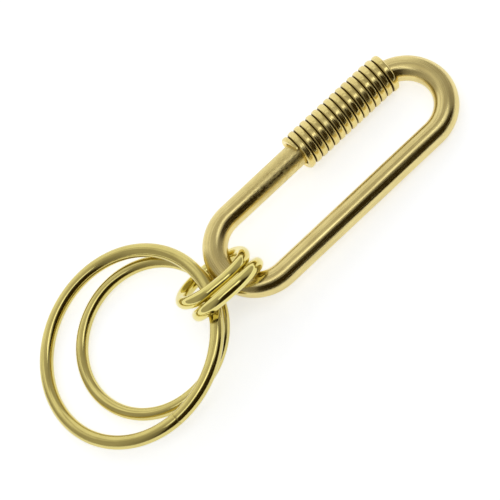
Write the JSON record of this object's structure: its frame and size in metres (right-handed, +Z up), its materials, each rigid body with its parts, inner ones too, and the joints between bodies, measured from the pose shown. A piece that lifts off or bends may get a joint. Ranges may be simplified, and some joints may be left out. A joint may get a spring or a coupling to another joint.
{
  "type": "belt key clip",
  "caption": "Brass belt key clip: a bent rod link closed by a sliding wire coil, with jump rings that carry a large and a small key ring.",
  "frame": {"origin": "bottom centre of the overall box of the clip lying on a table", "axes": "+X along the link away from the key rings, +Y toward the coil side of the link, +Z up from the table"},
  "size_m": [0.1008, 0.0408, 0.0155],
  "materials": {
    "satin_brass": "satin drawn rod",
    "wire_brass": "bright drawn wire",
    "polished_brass": "polished"
  },
  "bodies": {
    "link_rod": {"link_rod": "satin_brass"},
    "coil_sleeve": {"coil_sleeve": "wire_brass"},
    "jump_ring_upper": {"jump_ring_upper": "polished_brass"},
    "jump_ring_lower": {"jump_ring_lower": "polished_brass"},
    "large_key_ring": {"large_key_ring": "polished_brass"},
    "small_key_ring": {"small_key_ring": "polished_brass"}
  },
  "joints": [
    {"name": "coil_slide", "type": "slide", "parent": "link_rod", "child": "coil_sleeve", "axis": [0.9978, 0, -0.0666], "range_m": [-0.016, 0]},
    {"name": "jump_upper_swing", "type": "hinge", "parent": "link_rod", "child": "jump_ring_upper", "pos_m": [-0.0074, -0.00507, 0.00651], "axis": [-0.0819, 0.9361, 0.342], "range_deg": [-10, 80]},
    {"name": "jump_lower_swing", "type": "hinge", "parent": "link_rod", "child": "jump_ring_lower", "pos_m": [-0.0074, -0.00507, 0.00651], "axis": [-0.0819, 0.9361, 0.342], "range_deg": [-10, 80]},
    {"name": "large_key_swing", "type": "hinge", "parent": "jump_ring_upper", "child": "large_key_ring", "pos_m": [-0.01171, -0.0054, 0.00871], "axis": [0.2924, 0.9365, 0.1933], "range_deg": [0, 90]},
    {"name": "small_key_swing", "type": "hinge", "parent": "jump_ring_upper", "child": "small_key_ring", "pos_m": [-0.01078, -0.0054, 0.00507], "axis": [-0.062, 0.9972, -0.0425], "range_deg": [-80, 0]}
  ],
  "couplings": [
    {"joint": "jump_lower_swing", "follows": "jump_upper_swing", "ratio": 1}
  ]
}
